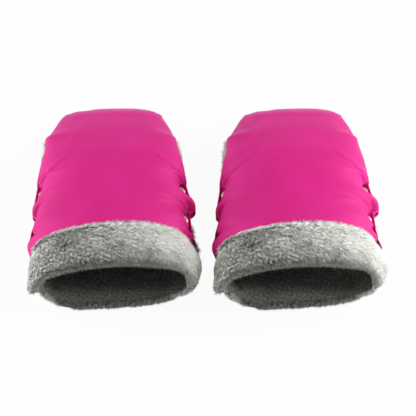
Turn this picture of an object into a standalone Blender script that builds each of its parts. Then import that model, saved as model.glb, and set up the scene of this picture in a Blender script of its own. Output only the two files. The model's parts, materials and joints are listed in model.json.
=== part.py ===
# A pair of padded hand muffs for a pushchair handlebar, lying side by side on their backs.
# Each muff is a quilted pouch: a front and a back panel of proofed fabric, wadding and plush,
# sewn together round the closed tip. The plush is turned out over the mouth as a deep cuff.
# Press studs close the two side edges, and the handlebar passes through the slot on each side.
# Units are metres, +Z is up, +Y runs from the mouth to the tip, and the pair stands on Z = 0.

import math

import bmesh
import bpy
import numpy as np
from mathutils import Vector

mm = 0.001

# The muff as a whole: its shell, without the turned cuff
muff_length = 289.0 * mm
muff_width = 228.0 * mm
muff_height = 103.0 * mm
pair_pitch = 245.0 * mm
mouth_recess = 14.0 * mm
mouth_skew = 8.0 * mm
tip_bow = 6.0 * mm
tip_lean = 6.0 * mm

# Heights of the side seam line above the floor, at the mouth and at the tip
mouth_seam_height = 46.0 * mm
tip_seam_height = 17.0 * mm

# The quilted panels: each layer's thickness in the middle, and the plush at the edges
shell_thickness = 1.2 * mm
wadding_thickness = 5.0 * mm
lining_thickness = 5.0 * mm
edge_lining_thickness = 2.5 * mm
clearance = 0.3 * mm

# The turned cuff
cuff_depth = 58.0 * mm
cuff_thickness = 6.0 * mm

# The tip, from the line where the front panel flexes, and its rounded end
tip_length = 46.0 * mm
end_radius = 22.0 * mm

# The slot for the handlebar
slot_height = 32.0 * mm
slot_length = 32.0 * mm
slot_tip_distance = 14.0 * mm

# The press studs, which divide the side between the cuff and the slot, and the pinched edge round each
snap_side_shares = (0.302, 0.647)
snap_flat = 20.0 * mm
snap_inset = 12.0 * mm
pinch_fade_share = 0.625
flange_width = 25.0 * mm
front_bulge_setback = 13.0 * mm
front_bulge_height = 13.0 * mm
back_bulge_setback = 19.0 * mm
back_bulge_height = 9.0 * mm
gape = 8.0 * mm

# The turned metal pieces of a press stud
cap_radius = 8.5 * mm
cap_height = 2.2 * mm
cap_rim_height = 0.6 * mm
cap_shank_radius = 2.0 * mm
socket_radius = 6.6 * mm
socket_height = 3.0 * mm
socket_plate = 0.6 * mm
socket_bore_radius = 3.6 * mm
stud_base_radius = 5.8 * mm
stud_base_height = 0.8 * mm
stud_radius = 2.4 * mm
stud_height = 2.2 * mm
stud_bore_radius = 1.7 * mm
stud_bore_depth = 1.8 * mm
post_radius = 5.8 * mm
post_height = 1.4 * mm
post_shank_radius = 1.4 * mm
post_engagement = 1.4 * mm
turned_steps = 8
merge_distance = 0.05 * mm
cut_overrun = 1.0 * mm

# Where a soft edge or a turned edge is shaded sharp
soft_edge_degrees = 50
turned_edge_degrees = 40

# Shares of the muff's half width along its length, and of its height along the crown.
# The first number of each pair is the share of the length, from the mouth.
width_shares = [
    (0.0, 0.92), (0.19, 0.935), (0.24, 0.97), (0.28, 0.95), (0.34, 0.915), (0.42, 0.955), (0.475, 0.925),
    (0.51, 0.895), (0.61, 0.885), (0.68, 0.86), (0.76, 0.825), (0.84, 0.79), (0.88, 0.735), (0.925, 0.685),
    (0.96, 0.645), (1.0, 0.57),
]
crown_shares = [
    (0.0, 1.0), (0.24, 1.0), (0.38, 0.975), (0.52, 0.92), (0.66, 0.81), (0.80, 0.655),
    (0.84, 0.60), (0.92, 0.47), (1.0, 0.36),
]
back_flat_shares = [(0.0, 0.22), (0.20, 0.36), (0.34, 0.48), (0.60, 0.62), (1.0, 0.62)]
back_dish_shares = [(0.0, 1.38), (0.20, 1.25), (0.40, 1.0), (1.0, 1.0)]
crown_roundness_share = 0.87
bulge_depth_share = 0.5
shoulder_depth_share = 0.9
end_angles = (0.0, 35.0, 64.0, 90.0)
roll_angles = (45.0, 90.0, 135.0)

# Shares that shape the cuff's raw edge, turned in towards the shell, and the bow of its band
hem_outer_share = 0.4
band_bow_share = 0.2

# Shares that shape the turned pieces: (share of the radius, share of the height) where there are two
cap_dome_shares = [(0.0, 1.0), (0.5, 0.93), (0.82, 0.7)]
cap_under_share = 0.97
socket_shoulder_share = 0.85
stud_head_shares = [(0.0, 1.0), (0.7, 1.0), (1.0, 0.7), (0.9, 0.0)]
post_head_shares = [(0.97, 0.0), (1.0, 0.5), (0.75, 1.0), (0.0, 1.0)]

# Values worked out from the sizes above
half_width = muff_width / 2
flex_y = muff_length - tip_length
edge_depth = shell_thickness + clearance + edge_lining_thickness
full_depth = shell_thickness + wadding_thickness + lining_thickness + 2 * clearance
fastened_gap = socket_height + stud_base_height + 3 * clearance
cuff_reach = cuff_thickness + clearance
slot_ys = (flex_y - slot_tip_distance - slot_length, flex_y - slot_tip_distance)
snap_ys = [cuff_depth + (slot_ys[0] - cuff_depth) * share for share in snap_side_shares]
pinch_fade = pinch_fade_share * (snap_ys[0] - snap_flat / 2 - cuff_depth)
half_columns = 6
bulge_column = 4
flat_columns = 2
cuff_step = muff_height / 4

COLOURS = {
    "shell": ((0.70, 0.03, 0.24, 1.0), 0.42, 0.0),
    "wadding": ((0.86, 0.86, 0.84, 1.0), 0.95, 0.0),
    "plush": ((0.40, 0.40, 0.37, 1.0), 0.9, 0.0),
    "metal": ((0.66, 0.68, 0.66, 1.0), 0.25, 1.0),
}


def empty_scene():
    for thing in list(bpy.data.objects):
        bpy.data.objects.remove(thing, do_unlink=True)


def new_collection(name):
    collection = bpy.data.collections.new(name)
    bpy.context.scene.collection.children.link(collection)
    return collection


def material(name):
    made = bpy.data.materials.get(name)
    if made is None:
        colour, roughness, metallic = COLOURS[name]
        made = bpy.data.materials.new(name)
        made.use_nodes = True
        made.diffuse_color = colour
        shader = made.node_tree.nodes["Principled BSDF"]
        shader.inputs["Base Color"].default_value = colour
        shader.inputs["Roughness"].default_value = roughness
        shader.inputs["Metallic"].default_value = metallic
    return made


def smooth_step(share):
    held = min(1.0, max(0.0, share))
    return held * held * (3 - 2 * held)


def at_share(table, share):
    """The value of a table of shares at a share of the length."""
    places, values = zip(*table)
    return float(np.interp(share, places, values))


def held_at_snap(y):
    """The edge runs straight past a press stud, so its shape there is that of the stud's centre."""
    for snap_y in snap_ys:
        if abs(y - snap_y) < snap_flat / 2 + clearance:
            return snap_y
    return y


def pinch(y):
    """1 where a press stud pinches the edges into a flange, 0 where they are a plain wall."""
    away = min(abs(y - snap_y) for snap_y in snap_ys) - snap_flat / 2
    return 1 - smooth_step(away / pinch_fade)


def seam_height(y):
    share = held_at_snap(y) / muff_length
    return mouth_seam_height + (tip_seam_height - mouth_seam_height) * share


def edge_half_width(y):
    return half_width * at_share(width_shares, held_at_snap(y) / muff_length)


def edge_gap(y):
    """The free height between the two panels' edges along the side."""
    if y >= flex_y:
        return clearance
    if y > snap_ys[1] + snap_flat / 2:
        start = snap_ys[1] + snap_flat / 2
        if y < slot_ys[0]:
            opened = (y - start) / (slot_ys[0] - start)
            return fastened_gap + (slot_height - fastened_gap) * opened
        if y <= slot_ys[1]:
            return slot_height
        closed = (y - slot_ys[1]) / (flex_y - slot_ys[1])
        return slot_height + (fastened_gap - slot_height) * closed
    return gape + (fastened_gap - gape) * pinch(y)


def end_round(y):
    """The crown falls to the seam in a quarter circle at the closed tip."""
    along = (y - (muff_length - end_radius)) / end_radius
    if along <= 0:
        return 1.0
    return math.sqrt(max(0.0, 1 - along * along))


def rounded(angle):
    """A point of a fabric's round section, at an angle from its crown, as shares of its half sizes."""
    across = math.sin(angle) ** crown_roundness_share
    up = max(0.0, math.cos(angle)) ** crown_roundness_share
    return across, up


def front_half_section(y, gap):
    """The front panel's outer surface from the crown to the right edge, as (x, z) points."""
    k = pinch(y)
    edge_x = edge_half_width(y)
    edge_z = seam_height(y) + gap / 2 + k * edge_depth
    crown_z = muff_height * at_share(crown_shares, y / muff_length)
    crown_z = edge_z + (crown_z - edge_z) * end_round(y)
    bulge_x = edge_x - front_bulge_setback
    bulge_z = edge_z + front_bulge_height * end_round(y)
    points = []
    for column in range(half_columns + 1):
        across, up = rounded(math.pi / 2 * column / half_columns)
        plain = (edge_x * across, edge_z + (crown_z - edge_z) * up)
        if column <= bulge_column:
            across, up = rounded(math.pi / 2 * column / bulge_column)
            pinched = (bulge_x * across, bulge_z + (crown_z - bulge_z) * up)
        elif column < half_columns:
            pinched = (edge_x - flange_width, edge_z)
        else:
            pinched = (edge_x, edge_z)
        points.append([(1 - k) * plain[i] + k * pinched[i] for i in (0, 1)])
    return points


def floor_height(y):
    """The back panel lies on the floor, and on its own turned cuff near the mouth."""
    return cuff_reach * (1 - smooth_step((y - cuff_depth) / cuff_step))


def dished(turn_share, roundness):
    """A point of a dish's side from its flat bottom to its edge, as shares of the side's sizes."""
    angle = math.pi / 2 * turn_share
    return math.sin(angle) ** roundness, max(0.0, math.cos(angle)) ** roundness


def back_half_section(y, gap):
    """The back panel's outer surface from the middle of its flat underside to the right edge."""
    k = pinch(y)
    edge_x = edge_half_width(y)
    edge_z = seam_height(y) - gap / 2 - k * edge_depth
    low_z = edge_z - (edge_z - floor_height(y)) * end_round(y)
    flat_x = at_share(back_flat_shares, y / muff_length) * edge_x
    dish = at_share(back_dish_shares, y / muff_length)
    bulge_x = edge_x - back_bulge_setback
    bulge_z = edge_z - back_bulge_height * end_round(y)
    points = [[flat_x * column / flat_columns, low_z] for column in range(flat_columns)]
    for column in range(flat_columns, half_columns + 1):
        across, up = dished((column - flat_columns) / (half_columns - flat_columns), dish)
        plain = (flat_x + (edge_x - flat_x) * across, edge_z - (edge_z - low_z) * up)
        if column <= bulge_column:
            across, up = dished((column - flat_columns) / (bulge_column - flat_columns), dish)
            pinched = (flat_x + (bulge_x - flat_x) * across, bulge_z - (bulge_z - low_z) * up)
        elif column < half_columns:
            pinched = (edge_x - flange_width, edge_z)
        else:
            pinched = (edge_x, edge_z)
        points.append([(1 - k) * plain[i] + k * pinched[i] for i in (0, 1)])
    return points


def mirrored(half):
    """The whole section from the left edge to the right one."""
    return [(-x, z) for x, z in reversed(half[1:])] + [tuple(point) for point in half]


def end_ys():
    start = muff_length - end_radius
    return [start + end_radius * math.sin(math.radians(angle)) for angle in end_angles]


def flap_ys():
    """The stations of the panels from the mouth to the flex line."""
    ys = [0.0, cuff_depth, snap_ys[0] - snap_flat / 2 - pinch_fade]
    ys += [snap_ys[0] - snap_flat / 2, snap_ys[0] + snap_flat / 2]
    ys += [(snap_ys[0] + snap_ys[1]) / 2]
    ys += [snap_ys[1] - snap_flat / 2, snap_ys[1] + snap_flat / 2]
    ys += [(snap_ys[1] + snap_flat / 2 + slot_ys[0]) / 2]
    return ys + [slot_ys[0], slot_ys[1], flex_y]


def askew(x, y):
    """The muff lies a little askew: from the flex line to the mouth its right side hangs back."""
    return y + mouth_skew * (x / half_width) * max(0.0, 1 - y / flex_y)


def leant(x, y):
    """Its tip leans a little to the left."""
    return x - tip_lean * y / muff_length


def panel_grid(half_section, ys, crowned, gap_of=edge_gap):
    """The outer surface of a panel: an array of rows by columns by (x, y, z)."""
    rows = []
    for y in ys:
        section = mirrored(half_section(y, gap_of(y)))
        top = max(z for x, z in section)
        low = min(z for x, z in section)
        widest = max(x for x, z in section)
        row = []
        for x, z in section:
            laid_y = askew(x, y)
            if crowned and y < flex_y and top > low:
                laid_y += mouth_recess * (1 - y / flex_y) * (z - low) / (top - low)
            if y > flex_y:
                laid_y += tip_bow * (y - flex_y) / tip_length * (1 - (x / widest) ** 2)
            row.append((leant(x, y), laid_y, z))
        rows.append(row)
    return np.array(rows)


def seam_lines(rows, columns, closed):
    """The places of the sewn edges: up the right side, over the tip where it is closed, and back."""
    right = [(i, columns - 1) for i in range(rows)]
    left = [(i, 0) for i in reversed(range(rows))]
    if closed:
        return [right + [(rows - 1, j) for j in reversed(range(1, columns - 1))] + left]
    return [right, left]


def plan_miter(points):
    """The horizontal vector that moves the middle one of a line's points one unit away from the line."""
    normals = []
    for start, end in zip(points, points[1:]):
        along = (end - start)[:2] / np.linalg.norm((end - start)[:2])
        normals.append((along[1], -along[0]))
    flat = np.linalg.lstsq(np.array(normals), np.ones(len(normals)), rcond=0.25)[0]
    return np.array([flat[0], flat[1], 0.0])


def level_edges(grid, miters, pinches, closed, cut_rows):
    """At the seam every layer ends level with the seam line, except where a press stud flattens it."""
    for line in seam_lines(*grid.shape[:2], closed):
        for number, (i, j) in enumerate(line):
            near = [grid[place] for place in line[max(0, number - 1): number + 2]]
            level = np.array([math.copysign(1, grid[i, j, 0]), 0.0, 0.0])
            if i not in cut_rows:
                level = plan_miter(near)
            miters[i, j] = (1 - pinches[i]) * level + pinches[i] * miters[i, j]


def outward_miters(grid, up, cut_rows):
    """For each point, the vector that moves it one unit away from all faces round it.

    On a cut row the vector stays in the plane of the cut.
    """
    rows, columns, _ = grid.shape
    faces = np.zeros((rows - 1, columns - 1, 3))
    for i in range(rows - 1):
        for j in range(columns - 1):
            normal = np.cross(grid[i + 1, j + 1] - grid[i, j], grid[i + 1, j] - grid[i, j + 1])
            length = np.linalg.norm(normal)
            faces[i, j] = normal / length if length > 0 else (0, 0, 1)
    if faces[0, columns // 2][2] * up < 0:
        faces = -faces
    miters = np.zeros_like(grid)
    for i in range(rows):
        for j in range(columns):
            around = faces[max(0, i - 1): i + 1, max(0, j - 1): j + 1].reshape(-1, 3)
            if i in cut_rows:
                around = around * (1.0, 0.0, 1.0)
            ones = np.ones(len(around))
            miters[i, j] = np.linalg.lstsq(around, ones, rcond=0.25)[0]
    return miters


def column_fullness(columns):
    """How full the quilting is across a panel: 1 in the middle, 0 at the sewn edges."""
    middle = columns // 2
    table = {bulge_column: bulge_depth_share, bulge_column - 1: shoulder_depth_share}
    fullness = []
    for column in range(columns):
        away = abs(column - middle)
        fullness.append(table.get(away, 1.0) if away <= bulge_column else 0.0)
    return np.array(fullness)


def row_fullness(ys):
    return np.array([end_round(y) for y in ys])


class Panel:
    """The outer surface of a panel, and the depth of its quilting under each point."""

    def __init__(self, half_section, ys, up, gap_of=edge_gap):
        self.grid = panel_grid(half_section, ys, up > 0, gap_of)
        self.closed = ys[-1] > flex_y
        columns = self.grid.shape[1]
        cut_rows = [i for i, y in enumerate(ys) if y == flex_y and up > 0]
        self.miters = outward_miters(self.grid, up, cut_rows)
        level_edges(self.grid, self.miters, [pinch(y) for y in ys], self.closed, cut_rows)
        self.fullness = np.outer(row_fullness(ys), column_fullness(columns))
        self.depth = edge_depth + (full_depth - edge_depth) * self.fullness
        self.plush = edge_lining_thickness + (lining_thickness - edge_lining_thickness) * self.fullness
        self.thin_towards_tip(ys)
        falling = np.linalg.norm(self.grid[:-1, :-1] - self.grid[1:, 1:], axis=2)
        rising = np.linalg.norm(self.grid[:-1, 1:] - self.grid[1:, :-1], axis=2)
        self.slants = falling < rising

    def thin_towards_tip(self, ys):
        """Past the flex line the two panels meet, so each is thinned to stay on its side of the seam."""
        for i, y in enumerate(ys):
            for j in range(1, self.grid.shape[1] - 1):
                room = abs(self.grid[i, j, 2] - seam_height(y)) - clearance
                reach = self.depth[i, j] * abs(self.miters[i, j, 2])
                if y >= flex_y and 0 < room < reach:
                    self.miters[i, j] *= room / reach

    def sunk(self, depth):
        return self.grid - self.miters * np.broadcast_to(depth, self.fullness.shape)[:, :, None]


def add_object(name, mesh, colour, collection, parent=None):
    thing = bpy.data.objects.new(name, mesh)
    collection.objects.link(thing)
    if not mesh.materials:
        mesh.materials.append(material(colour))
    if parent is not None:
        thing.parent = parent
    return thing


def sewn_mesh(name, mesh_builder):
    """The finished mesh of a soft piece, in triangles, because its four-sided faces are warped."""
    bmesh.ops.triangulate(mesh_builder, faces=mesh_builder.faces)
    bmesh.ops.recalc_face_normals(mesh_builder, faces=mesh_builder.faces)
    mesh = bpy.data.meshes.new(name)
    mesh_builder.to_mesh(mesh)
    mesh_builder.free()
    mesh.shade_smooth()
    mesh.set_sharp_from_angle(angle=math.radians(soft_edge_degrees))
    return mesh


def closed_sheet(name, upper, lower, slants):
    """A closed mesh between two grids of points, joined round their edges.

    Every four-sided face is warped, so slants says which way each is split, alike in all layers.
    """
    rows, columns, _ = upper.shape
    mesh_builder = bmesh.new()
    sides = []
    for grid in (upper, lower):
        sides.append([[mesh_builder.verts.new(point) for point in row] for row in grid])
    for side in sides:
        for i in range(rows - 1):
            for j in range(columns - 1):
                near, far = side[i], side[i + 1]
                if slants[i, j]:
                    mesh_builder.faces.new([near[j], near[j + 1], far[j + 1]])
                    mesh_builder.faces.new([near[j], far[j + 1], far[j]])
                else:
                    mesh_builder.faces.new([near[j], near[j + 1], far[j]])
                    mesh_builder.faces.new([near[j + 1], far[j + 1], far[j]])
    rim = [(0, j) for j in range(columns)] + [(i, columns - 1) for i in range(1, rows)]
    rim += [(rows - 1, j) for j in reversed(range(columns - 1))] + [(i, 0) for i in reversed(range(1, rows - 1))]
    top, bottom = sides
    for (i, j), (m, n) in zip(rim, rim[1:] + rim[:1]):
        mesh_builder.faces.new([top[m][n], top[i][j], bottom[i][j], bottom[m][n]])
    return sewn_mesh(name, mesh_builder)


def layer_meshes(name, panel):
    """The shell, the wadding and the lining of a panel, with the clearance between them."""
    middle = panel.grid.shape[1] // 2
    inner = slice(middle - bulge_column, middle + bulge_column + 1)
    rows = slice(0, -1) if panel.closed else slice(0, None)
    spans = {
        "shell": (0.0, shell_thickness),
        "wadding": (shell_thickness + clearance, panel.depth - panel.plush - clearance),
        "lining": (panel.depth - panel.plush, panel.depth),
    }
    meshes = {}
    for layer, (top_depth, bottom_depth) in spans.items():
        top, bottom, slants = panel.sunk(top_depth), panel.sunk(bottom_depth), panel.slants
        if layer == "wadding":
            top, bottom, slants = top[rows, inner], bottom[rows, inner], slants[rows, inner]
        meshes[layer] = closed_sheet(f"{name}_{layer}", top, bottom, slants)
    return meshes


def cuff_mesh(name, panel):
    """The plush turned out over the mouth: a rounded lip, then a band back over the shell."""
    band_rows = 2
    hem = band_rows - 1
    outer = panel.sunk(-clearance - cuff_thickness)
    inner = panel.sunk(-clearance)
    deep = panel.sunk(panel.depth)
    columns = panel.grid.shape[1]
    forward = panel.grid[0] - panel.grid[1]
    forward /= np.linalg.norm(forward, axis=1)[:, None]
    rings = []
    for j in range(columns):
        back_edge = outer[hem, j] * hem_outer_share + inner[hem, j] * (1 - hem_outer_share)
        ring = [back_edge]
        ring += [outer[i, j] for i in reversed(range(band_rows))]
        lip_out = outer[0, j]
        lip_in = deep[0, j]
        centre = (lip_out + lip_in) / 2
        radius = np.linalg.norm(lip_out - lip_in) / 2
        arm = (lip_out - centre) / radius
        for angle in roll_angles:
            turn = math.radians(angle)
            ring.append(centre + radius * (arm * math.cos(turn) + forward[j] * math.sin(turn)))
        ring += [lip_in + forward[j] * clearance, inner[0, j] + forward[j] * clearance]
        ring += [inner[i, j] for i in range(1, band_rows)]
        ring[1] = ring[1] * (1 - band_bow_share) + ring[2] * band_bow_share
        rings.append(ring)
    mesh_builder = bmesh.new()
    verts = [[mesh_builder.verts.new(point) for point in ring] for ring in rings]
    count = len(rings[0])
    for j in range(columns - 1):
        for i in range(count):
            n = (i + 1) % count
            mesh_builder.faces.new([verts[j][i], verts[j][n], verts[j + 1][n], verts[j + 1][i]])
    for end in (verts[0], verts[-1]):
        mesh_builder.faces.new(end)
    return sewn_mesh(name, mesh_builder)


def turned_mesh(name, profile, closed=False):
    """A turned piece: (radius, height) points run down its outer side, spun round Z."""
    mesh = bpy.data.meshes.new(name + "_profile")
    count = len(profile)
    edges = [(i, i + 1) for i in range(count - 1)]
    if closed:
        edges.append((count - 1, 0))
    mesh.from_pydata([(radius, 0.0, height) for radius, height in profile], edges, [])
    blank = bpy.data.objects.new(name, mesh)
    bpy.context.scene.collection.objects.link(blank)
    spin = blank.modifiers.new("spin", "SCREW")
    spin.axis = "Z"
    spin.steps = turned_steps
    spin.render_steps = turned_steps
    spin.use_merge_vertices = True
    spin.merge_threshold = merge_distance
    spin.use_smooth_shade = True
    graph = bpy.context.evaluated_depsgraph_get()
    turned = bpy.data.meshes.new_from_object(blank.evaluated_get(graph))
    turned.name = name
    turned.set_sharp_from_angle(angle=math.radians(turned_edge_degrees))
    bpy.data.objects.remove(blank)
    return turned


def cap_mesh():
    """The domed cap, with the shank that holds the socket through the fabric."""
    shank_end = -(clearance + edge_depth + clearance + socket_plate)
    profile = [(cap_radius * across, cap_height * up) for across, up in cap_dome_shares]
    profile += [
        (cap_radius, cap_rim_height),
        (cap_radius * cap_under_share, 0.0),
        (cap_shank_radius, 0.0),
        (cap_shank_radius, shank_end),
        (0.0, shank_end),
    ]
    return turned_mesh("snap_cap", profile)


def socket_mesh():
    """The socket ring: a bore for the cap's shank above, and a wider one for the stud below."""
    plate_bore = cap_shank_radius + clearance
    profile = [
        (plate_bore, 0.0),
        (socket_radius * socket_shoulder_share, 0.0),
        (socket_radius, -socket_plate),
        (socket_radius, -socket_height),
        (socket_bore_radius, -socket_height),
        (socket_bore_radius, -socket_plate),
        (plate_bore, -socket_plate),
    ]
    return turned_mesh("snap_socket", profile, closed=True)


def stud_mesh():
    """The stud, with its base on the plush and a bore below for the post's shank."""
    profile = [(stud_radius * across, stud_base_height + stud_height * up) for across, up in stud_head_shares]
    profile += [
        (stud_base_radius, stud_base_height),
        (stud_base_radius, 0.0),
        (stud_bore_radius, 0.0),
        (stud_bore_radius, stud_bore_depth),
        (0.0, stud_bore_depth),
    ]
    return turned_mesh("snap_stud", profile)


def post_mesh():
    """The flat button under the back flange, with the shank that holds the stud."""
    shank = clearance + edge_depth + clearance + post_engagement
    profile = [
        (0.0, shank),
        (post_shank_radius, shank),
        (post_shank_radius, 0.0),
    ]
    profile += [(post_radius * across, -post_height * down) for across, down in post_head_shares]
    return turned_mesh("snap_post", profile)


def snap_places():
    """Where the press studs stand: (side, y), from the tip to the mouth on each side."""
    return [(side, y) for side in (-1, 1) for y in reversed(snap_ys)]


def shank_cutters(name, heights_of, radius, parent, cutters):
    """One collection of pins that pierce the flange of a panel at its press studs."""
    group = bpy.data.collections.new(name)
    cutters.children.link(group)
    for number, (side, y) in enumerate(snap_places(), 1):
        low, high = heights_of(y)
        bpy.ops.mesh.primitive_cylinder_add(vertices=turned_steps, radius=radius, depth=high - low)
        pin = bpy.context.object
        pin.name = f"{name}_pin_{number}"
        x = side * (edge_half_width(y) - snap_inset)
        pin.location = (leant(x, y), askew(x, y), (low + high) / 2)
        pin.parent = parent
        pin.hide_render = True
        pin.display_type = "WIRE"
        for holder in list(pin.users_collection):
            holder.objects.unlink(pin)
        group.objects.link(pin)
    return group


def pierce(thing, group):
    cut = thing.modifiers.new("shank holes", "BOOLEAN")
    cut.operation = "DIFFERENCE"
    cut.operand_type = "COLLECTION"
    cut.collection = group
    cut.solver = "EXACT"


def front_flange_heights(y):
    top = seam_height(y) + fastened_gap / 2 + edge_depth
    return top - edge_depth - cut_overrun, top + cut_overrun


def back_flange_heights(y):
    low = seam_height(y) - fastened_gap / 2 - edge_depth
    return low - cut_overrun, low + edge_depth + cut_overrun


def footprint_middle(meshes):
    """Half way between the muff's sides, and between the mouth and the tip."""
    places = np.array([vert.co[:2] for mesh in meshes for vert in mesh.vertices])
    return (places.min(axis=0) + places.max(axis=0)) / 2


def build_muff(side_name, centre_x, meshes, parts, cutters):
    """One whole muff, placed by an empty so that the middle of its footprint is at centre_x, 0."""
    place = bpy.data.objects.new(f"{side_name}_muff", None)
    parts.objects.link(place)
    middle_x, middle_y = footprint_middle(meshes["soft"].values())
    place.location = (centre_x - middle_x, -middle_y, 0.0)
    hinge = bpy.data.objects.new(f"{side_name}_front_hinge", None)
    parts.objects.link(hinge)
    hinge.parent = place
    hinge.location = (0.0, flex_y, hinge_height)
    bodies = {"front": hinge, "tip": place, "back": place}
    colours = {"shell": "shell", "wadding": "wadding", "lining": "plush", "cuff": "plush"}
    made = {}
    for (panel_name, layer), mesh in meshes["soft"].items():
        name = f"{side_name}_{panel_name}_{layer}"
        thing = add_object(name, mesh, colours[layer], parts, bodies[panel_name])
        if panel_name == "front":
            thing.location = -hinge.location
        made[panel_name, layer] = thing
    front_pins = shank_cutters(
        f"{side_name}_front_holes", front_flange_heights, cap_shank_radius + clearance, place, cutters
    )
    back_pins = shank_cutters(
        f"{side_name}_back_holes", back_flange_heights, post_shank_radius + clearance, place, cutters
    )
    for layer in ("shell", "lining"):
        pierce(made["front", layer], front_pins)
        pierce(made["back", layer], back_pins)
    for number, (side, y) in enumerate(snap_places(), 1):
        x = side * (edge_half_width(y) - snap_inset)
        seam = seam_height(y)
        front_face = seam + fastened_gap / 2
        back_face = seam - fastened_gap / 2
        heights = {
            "cap": front_face + edge_depth + clearance,
            "socket": front_face - clearance,
            "stud": back_face + clearance,
            "post": back_face - edge_depth - clearance,
        }
        for piece, z in heights.items():
            on_front = piece in ("cap", "socket")
            thing = add_object(
                f"{side_name}_snap_{piece}_{number}", meshes["snap"][piece], "metal", parts, hinge if on_front else place
            )
            thing.location = Vector((leant(x, y), askew(x, y), z)) - (hinge.location if on_front else Vector())


def flap_gap(y):
    """The front panel's gap at the flex line stays open a little, for it to lift freely."""
    return fastened_gap if y >= flex_y else edge_gap(y)


empty_scene()
parts_collection = new_collection("hand_muffs")
cutter_collection = new_collection("cutters")

front = Panel(front_half_section, flap_ys(), 1, flap_gap)
front.grid[-1, :, 1] -= clearance
tip = Panel(front_half_section, [flex_y] + end_ys(), 1)
back = Panel(back_half_section, flap_ys() + end_ys(), -1)
hinge_height = muff_height * at_share(crown_shares, flex_y / muff_length) + clearance

soft_meshes = {}
for panel_name, panel in (("front", front), ("tip", tip), ("back", back)):
    for layer, mesh in layer_meshes(panel_name, panel).items():
        soft_meshes[panel_name, layer] = mesh
soft_meshes["front", "cuff"] = cuff_mesh("front_cuff", front)
soft_meshes["back", "cuff"] = cuff_mesh("back_cuff", back)
snap_meshes = {"cap": cap_mesh(), "socket": socket_mesh(), "stud": stud_mesh(), "post": post_mesh()}
all_meshes = {"soft": soft_meshes, "snap": snap_meshes}

build_muff("left", -pair_pitch / 2, all_meshes, parts_collection, cutter_collection)
build_muff("right", pair_pitch / 2, all_meshes, parts_collection, cutter_collection)
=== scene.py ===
import json
import math

import bpy
import numpy as np
from mathutils import Matrix, Vector


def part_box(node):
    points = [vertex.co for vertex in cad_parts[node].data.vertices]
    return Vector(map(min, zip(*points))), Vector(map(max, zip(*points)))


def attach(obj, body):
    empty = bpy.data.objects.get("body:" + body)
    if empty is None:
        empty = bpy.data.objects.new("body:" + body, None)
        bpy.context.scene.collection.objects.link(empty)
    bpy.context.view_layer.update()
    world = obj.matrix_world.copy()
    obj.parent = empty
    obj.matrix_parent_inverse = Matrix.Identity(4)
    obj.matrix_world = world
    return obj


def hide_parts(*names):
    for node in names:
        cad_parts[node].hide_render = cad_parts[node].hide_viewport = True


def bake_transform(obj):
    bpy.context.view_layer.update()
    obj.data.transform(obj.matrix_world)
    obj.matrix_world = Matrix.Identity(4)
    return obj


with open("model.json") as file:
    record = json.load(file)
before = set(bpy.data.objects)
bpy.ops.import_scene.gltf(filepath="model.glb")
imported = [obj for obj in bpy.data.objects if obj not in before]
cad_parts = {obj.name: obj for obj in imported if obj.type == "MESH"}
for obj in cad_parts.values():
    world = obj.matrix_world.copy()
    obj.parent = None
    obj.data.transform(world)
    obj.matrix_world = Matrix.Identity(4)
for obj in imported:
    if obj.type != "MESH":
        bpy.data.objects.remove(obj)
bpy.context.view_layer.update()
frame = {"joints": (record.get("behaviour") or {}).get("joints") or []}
mm = 0.001


# Where the two muffs lie
# Each front panel folds at the crown of its slots, and the fold's place in the frame sets the muff's.
# Inside a muff, x runs across from its middle, y from the mouth to the tip, and z up from the floor.
mouth_to_fold = 243 * mm
muff_places = {}
for joint in frame["joints"]:
    fold_x, fold_y, fold_z = joint["pos_m"]
    muff_places[joint["name"].split("_")[0]] = Vector((fold_x, fold_y - mouth_to_fold, 0))


# The front shell
# One piece of proofed plain-weave nylon, hot pink, cut from the mouth to the tip and sewn to the back shell
# round the closed tip. The wadding fills it out, and each press stud draws it into a deep dimple.
shell_length = 289 * mm
shell_thickness = 0.8 * mm
least_height = 0.3 * mm
least_rise = 1 * mm
mouth_seam_height = 46 * mm
tip_seam_height = 17 * mm
end_radius = 22 * mm
mouth_recess = 14 * mm
mouth_skew = 8 * mm
skew_half_width = 114 * mm
ease_length = 5 * mm
calm_length = 30 * mm
edge_wave_power = 6

# Half widths of the shell from its middle, on the left and on the right: (distance from the mouth, width)
left_outline = np.array([
    (0, 103), (20, 104.5), (40, 106), (52, 109.5), (62, 113), (70, 115), (76, 114.7), (85, 111),
    (92, 107), (99, 104.8), (104, 106), (110, 108.2), (121, 109.2), (130, 109.5), (139, 108.6),
    (152, 105.4), (170, 103.9), (184, 101), (198, 97.9), (214, 94.5), (235, 94.5), (247, 89),
    (256, 84.4), (265, 80.5), (275, 76), (284, 72), (289, 68),
]) * mm
right_outline = np.array([
    (0, 104), (9, 107.5), (20, 109), (30, 107.5), (40, 106), (50, 106), (57, 108), (63, 109.8),
    (74, 109.4), (83, 107), (91, 105), (99, 106), (107, 107.9), (118, 109.4), (128, 108.4), (134, 106),
    (140.5, 102.3), (152, 99.5), (169, 96.1), (191, 92), (205, 88), (219, 84.5), (235, 82), (246, 79.3),
    (256, 75.5), (265, 71.5), (275, 66.5), (284, 63.5), (289, 62),
]) * mm
crown_line = np.array([
    (0, 103), (69, 103), (110, 100.5), (150, 94.5), (191, 83.5), (231, 67.5), (243, 62), (266, 48.5),
    (289, 38),
]) * mm
crown_roundness = 0.87

# How much further the tip reaches at each place across it
tip_reach = np.array([
    (-68, -4), (-52, 0), (-45, 0), (-36, 0.4), (-27, 2.2), (-10, 3), (10, 3.4), (27, 3.4), (40, 2.2),
    (50, 0.5), (59, -3), (64, -5),
]) * mm

# How far the front panel's right edge is drawn in under its turned band
front_tuck = np.array([(26, 0), (36, 3), (46, 7), (56, 10), (64, 8), (70, 3), (75, 0)]) * mm

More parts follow.
